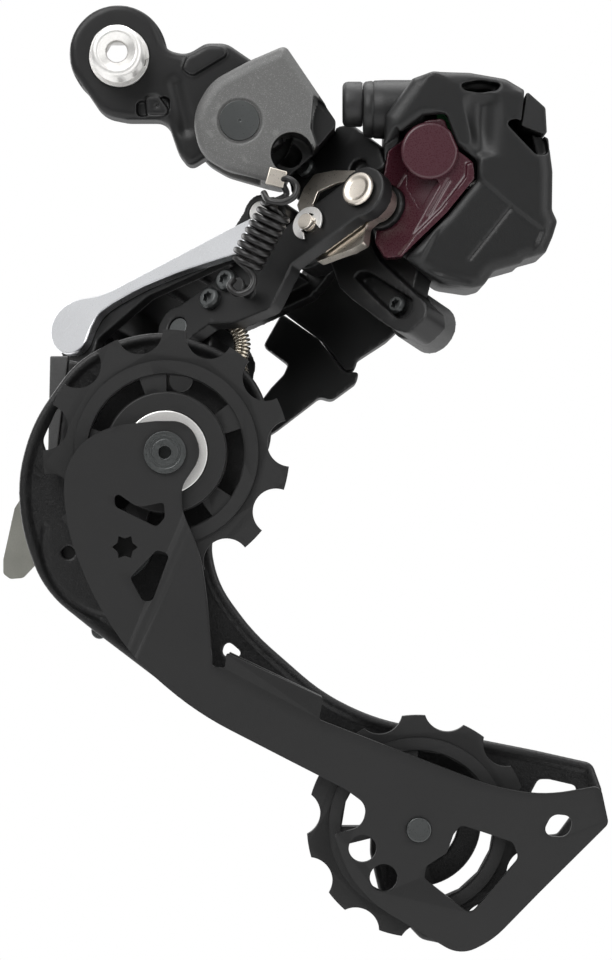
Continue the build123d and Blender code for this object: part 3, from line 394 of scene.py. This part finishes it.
def soft(node, voxel=0.3, smooth=6, factor=0.5, keep=1.0, name=None, mat=None, edit=None, sculpt=None):
    """CAD node as a moulded or cast shape with rounded edges."""
    bm = cad_bmesh(node)
    if edit:
        edit(bm)
    mesh = remeshed(bm, voxel, smooth, factor)
    if sculpt:
        sculpt(mesh)
    if keep < 1.0:
        obj = bpy.data.objects.new("work", mesh)
        bpy.context.scene.collection.objects.link(obj)
        mod = obj.modifiers.new("fewer", "DECIMATE")
        mod.ratio = keep
        fewer = evaluated(obj)
        bpy.data.objects.remove(obj)
        mesh = fewer
    mesh.name = name or node + "_shape"
    shade(mesh, 60)
    slot_name = NODE_SLOT[node]
    return add_object(name or node + "_shape", mesh, NODE_BODY[node], slot_name, mat or MATERIALS[slot_name],
                      node)

def local(mesh, axes):
    """Vertex positions, in millimetres, along three axes from an origin."""
    origin, rows = axes
    flat = np.empty(len(mesh.vertices) * 3)
    mesh.vertices.foreach_get("co", flat)
    return (flat.reshape(-1, 3) * 1000 - origin) @ rows.T


def put_back(mesh, points, axes):
    origin, rows = axes
    flat = ((points @ rows + origin) / 1000).ravel()
    mesh.vertices.foreach_set("co", flat)
    mesh.update()


# Columns: along X, along Z, height towards the wheel.
SIDE = (np.zeros(3), np.array([[1.0, 0, 0], [0, 0, 1.0], [0, -1.0, 0]]))


def edge_distance(points, corners):
    """Distance to a closed outline, positive inside it."""
    best = np.full(len(points), 1e9)
    inside = np.zeros(len(points), bool)
    px, py = points[:, 0], points[:, 1]
    for (ax, ay), (bx, by) in zip(corners, corners[1:] + corners[:1]):
        dx, dy = bx - ax, by - ay
        t = np.clip(((px - ax) * dx + (py - ay) * dy) / (dx * dx + dy * dy), 0, 1)
        best = np.minimum(best, np.hypot(px - ax - t * dx, py - ay - t * dy))
        if ay != by:
            crosses = ((ay > py) != (by > py)) & (px < (bx - ax) * (py - ay) / (by - ay) + ax)
            inside ^= crosses
    return np.where(inside, best, -best)


def line_distance(points, stops):
    """Distance to an open line through the stops."""
    best = np.full(len(points), 1e9)
    for (ax, ay), (bx, by) in zip(stops, stops[1:]):
        dx, dy = bx - ax, by - ay
        t = np.clip(((points[:, 0] - ax) * dx + (points[:, 1] - ay) * dy) / (dx * dx + dy * dy), 0, 1)
        best = np.minimum(best, np.hypot(points[:, 0] - ax - t * dx, points[:, 1] - ay - t * dy))
    return best


def curved(points, steps=5):
    """Outline with its corners rounded; points hold x, y and a corner radius."""
    line = []
    count = len(points)
    for i in range(count):
        corner = Vector(points[i][:2])
        before = Vector(points[i - 1][:2]) - corner
        after = Vector(points[(i + 1) % count][:2]) - corner
        half = before.angle(after) / 2
        reach = min(points[i][2] / math.tan(half), before.length * 0.47, after.length * 0.47)
        start = corner + before.normalized() * reach
        end = corner + after.normalized() * reach
        for k in range(steps + 1):
            t = k / steps
            line.append(tuple(start * (1 - t) ** 2 + corner * 2 * t * (1 - t) + end * t * t))
    return line


def near_top(p, top, reach):
    return np.clip((p[:, 2] - (top - reach)) / reach, 0, 1)


def shoulder(p, corners, radius, top, outside=False, drop=None):
    """Round the front edge along an outline."""
    d = edge_distance(p, corners)
    d = np.clip(-d if outside else d, 0, radius)
    drop = drop or radius
    fall = drop * (1 - np.sqrt(np.clip(1 - (1 - d / radius) ** 2, 0, 1)))
    p[:, 2] -= fall * near_top(p, top, drop * 1.6)


def ridge(p, stops, half, rise, top, reach=3.0):
    """Raise (or sink, when negative) a rounded band along a line."""
    d = line_distance(p, stops) / half
    p[:, 2] += rise * np.exp(-d * d * 1.6) * near_top(p, top, reach)


def groove(p, stops, half, depth, top, reach=1.2):
    """Narrow line cut into the front face."""
    d = line_distance(p, stops) / half
    p[:, 2] -= depth * np.clip(1.4 - d, 0, 1) * near_top(p, top, reach)


def sculptor(axes, *steps):
    def run(mesh):
        p = local(mesh, axes)
        top = p[:, 2].max()
        for step in steps:
            step(p)
        p[:, 2] = np.minimum(p[:, 2], top)
        put_back(mesh, p, axes)
    return run


def repaint(obj, mat, test):
    """Give the faces whose centre (in millimetres) passes a test a second material."""
    obj.data.materials.append(mat)
    for face in obj.data.polygons:
        if test(face.center * 1000):
            face.material_index = len(obj.data.materials) - 1


def new_piece(name, bm, node, angle=40, slot_name=None):
    bmesh.ops.recalc_face_normals(bm, faces=bm.faces)
    mesh = bpy.data.meshes.new(name)
    bm.to_mesh(mesh)
    bm.free()
    shade(mesh, angle)
    slot_name = slot_name or NODE_SLOT[node]
    return add_object(name, mesh, NODE_BODY[node], slot_name, MATERIALS[slot_name], node)


def wire(name, node, points, radius, sides=14):
    """Round wire along a line of points in metres."""
    bm = bmesh.new()
    rings = []
    side = None
    count = len(points)
    for i in range(count):
        along = (points[min(i + 1, count - 1)] - points[max(i - 1, 0)]).normalized()
        if side is None:
            side = along.orthogonal().normalized()
        side = (side - along * side.dot(along)).normalized()
        other = along.cross(side)
        ring = []
        for k in range(sides):
            a = 2 * math.pi * k / sides
            ring.append(bm.verts.new(points[i] + (side * math.cos(a) + other * math.sin(a)) * radius * MM))
        rings.append(ring)
    for low, high in zip(rings, rings[1:]):
        for k in range(sides):
            bm.faces.new((low[k], low[(k + 1) % sides], high[(k + 1) % sides], high[k]))
    bm.faces.new(rings[0][::-1])
    bm.faces.new(rings[-1])
    return new_piece(name, bm, node, 60)


def lathe(name, node, profile, origin, axis, start, sides=72, shape=None, angle=35):
    """Closed turned shape; profile holds (height, radius) in millimetres and runs from inner to inner."""
    bm = bmesh.new()
    axis = axis.normalized()
    start = (start - axis * start.dot(axis)).normalized()
    other = axis.cross(start)
    rings = []
    for height, radius in profile:
        ring = []
        for k in range(sides):
            a = 2 * math.pi * k / sides
            r = shape(height, radius, a) if shape else radius
            ring.append(bm.verts.new(origin + (axis * height + (start * math.cos(a) + other * math.sin(a)) * r) * MM))
        rings.append(ring)
    pairs = list(zip(rings, rings[1:]))
    if profile[0][1] > 0.02:
        pairs.append((rings[-1], rings[0]))
    for low, high in pairs:
        for k in range(sides):
            bm.faces.new((low[k], low[(k + 1) % sides], high[(k + 1) % sides], high[k]))
    bmesh.ops.remove_doubles(bm, verts=bm.verts, dist=1e-7)
    return new_piece(name, bm, node, angle)


# ------------------------------------------------------------------ base parts

HOUSING = curved([
    (31.7, 1.8, 1.2), (24.9, -1.1, 20), (17.6, -5.0, 9), (13.9, -11.4, 9), (15.4, -18.8, 7), (20.5, -21.8, 9),
    (28.1, -24.0, 4), (31.2, -24.7, 1), (32.2, -22.4, 1), (37.0, -18.2, 1.5), (41.6, -12.8, 1.5)])
ARM = curved([
    (-9.3, -2.2, 6), (-3.2, -10.9, 6), (1.5, -11.8, 6), (9.0, -11.8, 3), (11.2, -18.2, 6), (13.4, -20.9, 1.6),
    (17.0, -18.6, 2), (24.0, -21.6, 2), (31.0, -17.0, 3), (31.5, -9.0, 4), (27.0, -1.6, 3), (20.4, 2.9, 4),
    (16.4, 2.9, 3), (12.8, 0.7, 4), (9.0, 1.6, 6), (6.0, 8.8, 20), (-0.3, 11.2, 20), (-6.6, 8.6, 20),
    (-10.0, 3.6, 20)])
SHELL = curved([
    (55.6, -4.9, 1), (59.3, -3.6, 2), (66.3, -3.8, 3), (73.2, -5.0, 3), (76.7, -7.1, 2), (80.6, -10.5, 2),
    (81.0, -14.8, 3), (82.0, -22.4, 4), (81.9, -29.7, 2), (82.9, -31.8, 1), (82.0, -34.7, 2),
    (80.6, -37.9, 1),
    (76.6, -39.0, 0.6), (75.9, -39.8, 0.6), (70.9, -41.2, 1.5), (69.0, -43.9, 1.5), (66.7, -44.5, 2),
    (60.8, -43.6, 3), (52.5, -37.5, 2), (50.2, -30.0, 1), (50.4, -12.0, 2)], 3)
WINDOW = curved([
    (50.0, -17.6, 0.5), (57.6, -12.0, 1), (61.9, -11.6, 1), (63.9, -17.4, 1.5), (67.8, -20.4, 1.5),
    (67.8, -24.0, 1.5), (62.4, -30.6, 0.5), (54.2, -38.9, 0.5), (49.0, -38.9, 0.5)], 3)


CASE_CAVITY = [(54.4, -17.6), (58.2, -12.9), (61.7, -12.7), (63.2, -17.8), (66.8, -21.0), (66.4, -23.8),
               (61.6, -30.0),
               (58.6, -32.5), (54.4, -25.1)]


def cap_gap(p):
    """Narrow ring sunk round the axle's cap."""
    off = np.abs(np.hypot(p[:, 0] - 23.0, p[:, 1] + 12.6) - 4.0)
    p[:, 2] -= 0.45 * np.clip(1.5 - off / 0.25, 0, 1) * near_top(p, 6.0, 1.2)


def shell_relief(p):
    """Moulded forms of the motor shell's front: ridge, hollow, corner bulge, label face and seams."""
    ridge(p, [(59.6, -4.6), (62.6, -11.0), (69.6, -21.6)], 2.3, 1.0, 9.5, 4.0)
    ridge(p, [(68.6, -10.2), (68.0, -18.4)], 2.9, -1.8, 9.5, 4.0)
    ridge(p, [(76.0, -9.6), (76.6, -12.6)], 3.0, 0.8, 9.5, 3.0)
    label = curved([(67.6, -22.6, 1), (74.4, -28.6, 1), (80.6, -33.4, 1), (78.0, -39.6, 1), (70.0, -45.0, 1),
                    (56.0, -41.0, 1), (60.0, -33.0, 1)], 3)
    inside = np.clip(edge_distance(p, label) / 0.8, 0, 1)
    p[:, 2] -= 0.55 * inside * near_top(p, 9.5, 3.0)
    shoulder(p, SHELL, 3.0, 9.5, drop=2.0)
    shoulder(p, WINDOW, 1.8, 9.5, outside=True, drop=1.2)
    groove(p, [(74.1, -29.2), (66.3, -39.0)], 0.22, 0.3, 9.0)
    groove(p, [(77.4, -6.6), (76.4, -14.0)], 0.3, 0.4, 9.0, 3.0)


def gear_case_floor():
    """Floor of the gear case under the drive arm's path, in front of the worm wheel."""
    cell, thick = 0.35, 0.6
    left, low = 54.0, -32.6
    columns, rows = 38, 58
    below_path = 9.6
    inside_front_wall = -7.2
    wheel_x, wheel_z, cover_r, cover_y = 58.8, -18.9, 4.1, -6.65
    bm = bmesh.new()
    verts = {}

    def corner(i, k):
        if (i, k) not in verts:
            x, z = left + cell * i, low + cell * k
            path = -9.0 + (below_path - (x - 45.33) * 0.5621 + (z + 25.84) * 0.3211) / 0.7622
            y = max(path, inside_front_wall)
            if math.hypot(x - wheel_x, z - wheel_z) < cover_r:
                y = min(y, cover_y)
            verts[i, k] = bm.verts.new(at(x, y, z))
        return verts[i, k]

    cells = [(i, k) for i in range(columns) for k in range(rows)]
    centres = np.array([(left + cell * (i + 0.5), low + cell * (k + 0.5)) for i, k in cells])
    for (i, k), depth in zip(cells, edge_distance(centres, CASE_CAVITY)):
        if depth > 0:
            bm.faces.new([corner(i, k), corner(i + 1, k), corner(i + 1, k + 1), corner(i, k + 1)])
    made = bmesh.ops.extrude_face_region(bm, geom=bm.faces[:], use_keep_orig=True)
    bmesh.ops.translate(bm, verts=[v for v in made["geom"] if isinstance(v, bmesh.types.BMVert)],
                        vec=(0, thick * MM, 0))
    new_piece("gear_case_floor", bm, "gear_case", 50)


def base_pieces():
    soft("b_link", 0.26, 5, keep=0.45, sculpt=sculptor(
        SIDE,
        lambda p: shoulder(p, ARM, 1.6, 0.0, drop=1.2),
        lambda p: ridge(p, [(10.5, -5.0), (12.5, -13.5)], 1.6, -0.5, 0.0, 2.0)))
    housing = soft("base_housing", 0.22, 4, keep=0.5, sculpt=sculptor(
        SIDE,
        lambda p: shoulder(p, HOUSING, 2.4, 6.0, drop=1.7),
        cap_gap))

    # Painted shade: faces sunk in the round recess and faces on the housing's shadowed right side get the black
    # material, standing in for the shade that falls there.
    def painted_shade_recess(c):
        hole = math.hypot(c.x - 32.9, c.z + 18.8) < 4.3 and c.y > -5.6
        side = c.x > 36.2 + (-14.0 - c.z) * -0.3 and c.y > -5.0
        return hole or side
    # Painted shade: the black material goes on the recess and side faces picked above.
    repaint(housing, MATERIALS["black_satin_alloy"], painted_shade_recess)
    soft("base_bracket", 0.3, 4, keep=0.4)
    soft("motor_shell", 0.28, 4, keep=0.4, sculpt=sculptor(SIDE, shell_relief))
    soft("gear_case", 0.22, 2, keep=0.5, sculpt=sculptor(
        SIDE,
        lambda p: ridge(p, [(67.0, -22.6), (61.6, -30.2), (53.4, -38.2)], 0.8, 0.5, 7.8, 2.0),
        lambda p: groove(p, [(62.4, -24.0), (58.6, -30.6)], 0.3, 0.3, 7.8)))
    gear_case_floor()
    crisp("gear_cap", 0.7, 3)
    crisp("side_cover", 0.4, 3)
    crisp("motor_back", 0.6, 3)
    axis, centre = Vector((1, 0, 0)), at(0, -1.0, -10.0)
    lathe("port_barrel_shape", "port_barrel", [
        (56.0, 2.4), (46.4, 2.4), (46.4, 4.5), (46.5, 5.0), (46.9, 5.3), (48.0, 5.45), (48.3, 5.3),
        (48.6, 5.5), (50.5, 5.6),
        (53.5, 5.6), (57.6, 5.6), (58.0, 5.2), (58.0, 2.4)], centre, axis, Vector((0, 0, 1)))
    lathe("port_plug_shape", "port_plug", [
        (42.5, 0.01), (42.5, 3.4), (42.7, 3.9), (43.1, 4.2), (43.6, 4.3), (45.9, 4.3), (46.3, 4.1),
        (46.3, 2.4), (53.0, 2.4),
        (53.0, 0.01)], at(0, -1.0, -9.0), axis, Vector((0, 0, 1)))
    soft("lug_bush", 0.2, 3, keep=0.5)
    soft("lower_guard", 0.3, 6, keep=0.5)
    soft("guard_tail", 0.3, 6, keep=0.5)
    crisp("base_screws", 0.18, 2)
    crisp("spring_post", 0.35, 3)
    crisp("outer_pin", 0.3, 3)
    crisp("circuit_board", 0.2, 1)
    crisp("motor", 0.5, 3)
    crisp("motor_worm", 0.2, 2)
    crisp("drive_gear", 0.12, 2)
    crisp("b_axle", 0.35, 3)
    crisp("bolt_sleeve", 0.2, 2)
    crisp("bolt_snap_ring", 0.12, 2)
    crisp("b_spring", 0.1, 1)


def mount_bolt():
    """Hollow bolt with a real helical thread on the wheel end."""
    profile = [(-8.0, 4.0), (0.5, 4.0), (1.0, 3.4), (6.6, 3.4), (7.2, 2.0), (8.9, 2.0), (9.2, 2.2),
               (9.5, 3.1), (9.9, 3.4)]
    profile += [(10.0, 3.6), (10.0, 4.2), (9.8, 4.55), (9.4, 4.85)]
    profile += [(9.3 - 0.1 * i, 5.0) for i in range(75)]
    profile += [(1.7, 4.9), (1.6, 4.5), (0.9, 4.5), (0.8, 4.9), (-0.4, 5.0), (-8.5, 5.0), (-8.6, 5.2),
                (-8.6, 7.3), (-8.9, 7.6)]
    profile += [(-11.9, 7.6), (-12.2, 7.3), (-12.2, 4.3), (-8.2, 4.3)]

    def shape(height, radius, a):
        if 1.75 < height < 9.35 and radius > 4.9:
            turn = (height + a / (2 * math.pi)) % 1.0
            return radius - 0.55 * abs(turn - 0.5) * 2 * min(1, (height - 1.7) / 0.5)
        if radius == 4.3:
            return 4.0 / math.cos((a % (math.pi / 3)) - math.pi / 6)
        return radius
    lathe("mount_bolt_shape", "mount_bolt", profile, at(0, 0, 0), Vector((0, -1, 0)), Vector((1, 0, 0)), 84,
          shape, 40)


def inner_pin_head():
    profile = [(0, 0.01), (0.25, 0.01), (0.28, 1.7), (0.36, 2.2), (0.56, 2.45), (0.6, 2.8), (0.5, 3.15),
               (0.2, 3.3), (-0.2, 3.3),
               (-0.4, 3.15), (-0.4, 2.15), (-20.7, 2.15), (-21.0, 1.9), (-21.0, 0.01)]
    lathe("inner_pin_shape", "inner_pin", profile, link(0, 0), LINK_Z, LINK_X, 64)


# ------------------------------------------------------------------ links

def smooth_line(stops, steps):
    """Points on a smooth curve through the stops."""
    padded = [stops[0] * 2 - stops[1]] + list(stops) + [stops[-1] * 2 - stops[-2]]
    line = []
    for a, b, c, d in zip(padded, padded[1:], padded[2:], padded[3:]):
        for k in range(steps):
            t = k / steps
            line.append(0.5 * (2 * b + (c - a) * t + (2 * a - 5 * b + 4 * c - d) * t * t + (3 * b - a - 3 * c + d) * t ** 3))
    line.append(stops[-1].copy())
    return line


def coil(stops, radius, turns, steps=26):
    """Helix round a smooth curve through the stops; lengths in metres, radius in millimetres."""
    spine = smooth_line(stops, 24)
    count = int(turns * steps)
    side = (spine[1] - spine[0]).orthogonal().normalized()
    points = []
    for i in range(count + 1):
        place = i / count * (len(spine) - 1.001)
        k = int(place)
        centre = spine[k].lerp(spine[k + 1], place - k)
        along = (spine[k + 1] - spine[k]).normalized()
        side = (side - along * side.dot(along)).normalized()
        other = along.cross(side)
        a = 2 * math.pi * i / steps
        points.append(centre + (side * math.cos(a) + other * math.sin(a)) * radius * MM)
    return points


def springs():
    top, low = at(30.0, -8.6, -29.6), at(24.2, -7.2, -39.6)
    body = coil([top, top.lerp(low, 0.5), low], 2.75, 8)
    upper = smooth_line([at(27.6, -9.8, -26.6), at(28.6, -11.6, -28.2), at(31.2, -12.0, -28.6), at(33.4,
        -11.6, -27.4),
                         at(33.8, -11.0, -25.4), at(32.2, -10.6, -24.0), at(31.0, -9.6, -24.6), at(31.8, -9.0,
                             -27.0),
                         body[0]], 8)
    lower = smooth_line([body[-1], at(25.6, -9.6, -42.2), at(25.2, -10.0, -44.6), at(22.8, -9.8, -45.6),
                         at(21.2, -9.4, -44.2), at(22.0, -8.2, -42.8)], 8)
    wire("return_spring_shape", "return_spring", upper[:-1] + body + lower[1:], 0.62)
    base = at(21.8, 6.0, -50.2)
    stops = [base + at(x, 0, z) for x, z in ((0, 0), (1.5, -4), (0.8, -8), (2.0, -12.5))]
    wire("balance_spring_shape", "balance_spring", coil(stops, 1.36, 19, 20), 0.3, 10)


def link_pieces():
    soft("inner_link", 0.26, 5, keep=0.45)
    soft("outer_frame", 0.26, 2, keep=0.5)
    crisp("outer_trim", 0.75, 5)
    for node in ("saver_plate", "drive_arm", "clip_pin", "p_outer_pin", "p_inner_pin", "pivot_bush"):
        crisp(node, 0.22, 2)
    crisp("e_clip", 0.16, 2)
    crisp("limit_screws", 0.2, 2)


# ------------------------------------------------------------------ lower body

def lower_pieces():
    soft("p_housing", 0.35, 5, keep=0.4)
    crisp("clutch_cover", 0.9, 4)
    crisp("cover_screws", 0.12, 2)
    crisp("clutch_body", 0.3, 2)
    crisp("friction_band", 0.15, 2)
    crisp("cage_spring", 0.1, 1)
    crisp("p_tab", 0.35, 3)
    crisp("clutch_lever", 0.5, 3)
    crisp("lever_pivot", 0.3, 3)


# ------------------------------------------------------------------ cage

GUIDE = (9.5, -75.4)
TENSION = (56.4, -145.1)
MID_Y = -12.2


def tapered(centre, start, tip, amount):
    """Thin the teeth towards their tips."""
    def edit(bm):
        for vert in bm.verts:
            r = math.hypot(vert.co.x * 1000 - centre[0], vert.co.z * 1000 - centre[1])
            if r > start:
                t = min(1, (r - start) / (tip - start))
                vert.co.y = MID_Y * MM + (vert.co.y - MID_Y * MM) * (1 - amount * t)
    return edit


OUTER = curved([
    (-7.9, -58.1, 40), (0.2, -53.8, 40), (8.8, -52.3, 40), (20.7, -56.2, 40), (26.5, -62.0, 40),
    (30.0, -72.0, 40),
    (24.0, -84.0, 40), (17.2, -90.5, 40), (18.8, -100.0, 40), (25.6, -109.3, 40), (38.7, -120.8, 40),
    (48.7, -125.6, 40), (78.9, -131.6, 40), (89.6, -134.0, 2), (91.4, -139.0, 2), (91.2, -144.5, 1),
    (66.0, -169.0, 3), (57.3, -167.2, 3), (49.5, -159.0, 6), (47.6, -151.0, 6), (47.8, -141.6, 3),
    (44.0, -137.4, 6), (30.0, -131.6, 40), (10.0, -120.0, 40), (-4.6, -108.9, 40), (-14.0, -101.4, 40),
    (-18.1, -90.0, 40), (-18.9, -80.0, 40), (-16.0, -69.5, 40)])


def rim(p):
    """Raised, rounded rim round the outer plate and a shallow field inside it."""
    d = edge_distance(p, OUTER)
    front = near_top(p, 6.8, 1.2)
    p[:, 2] -= front * (0.55 * np.clip((d - 1.3) / 1.0, 0,
                                       1) + 0.5 * (1 - np.sqrt(np.clip(1 - (1 - d / 0.9) ** 2, 0, 1)))
                        * (d < 0.9))


def folded(bm, a, b, half, rise):
    """Press a low ridge into a plate along a line given by two points on X and Z."""
    a, b = at(a[0], 0, a[1]), at(b[0], 0, b[1])
    along = (b - a).normalized()
    across = Vector((-along.z, 0, along.x))
    for shift in (-half, -half * 0.35, half * 0.35, half):
        geom = bm.verts[:] + bm.edges[:] + bm.faces[:]
        bmesh.ops.bisect_plane(bm, geom=geom, dist=1e-6, plane_co=a + across * shift * MM, plane_no=across)
    length = (b - a).length
    for vert in bm.verts:
        offset = vert.co - a
        off = abs(offset.dot(across)) / MM
        run = offset.dot(along)
        if off < half * 0.5 and -0.1 * length < run < 1.1 * length:
            vert.co.y -= rise * MM


def cage_pieces():
    soft("outer_plate", 0.3, 3, keep=0.35, sculpt=sculptor(SIDE, rim))
    crisp("inner_plate", 0.3, 3, edit=lambda bm: folded(bm, (14.4, -87.0), (3.6, -112.4), 1.6, 0.45))
    crisp("guide_pulley", 0.3, 2, edit=tapered(GUIDE, 17.3, 23.0, 0.45))
    crisp("tension_pulley", 0.3, 2, edit=tapered(TENSION, 16.7, 20.7, 0.45))
    for node in ("guide_bearing", "tension_bearing", "guide_caps", "tension_caps", "cage_axle", "stop_pin",
                 "guide_bolt",
                 "tension_bolt"):
        crisp(node, 0.25, 2)


studio()
paint_nodes()
base_pieces()
mount_bolt()
inner_pin_head()
link_pieces()
springs()
lower_pieces()
cage_pieces()
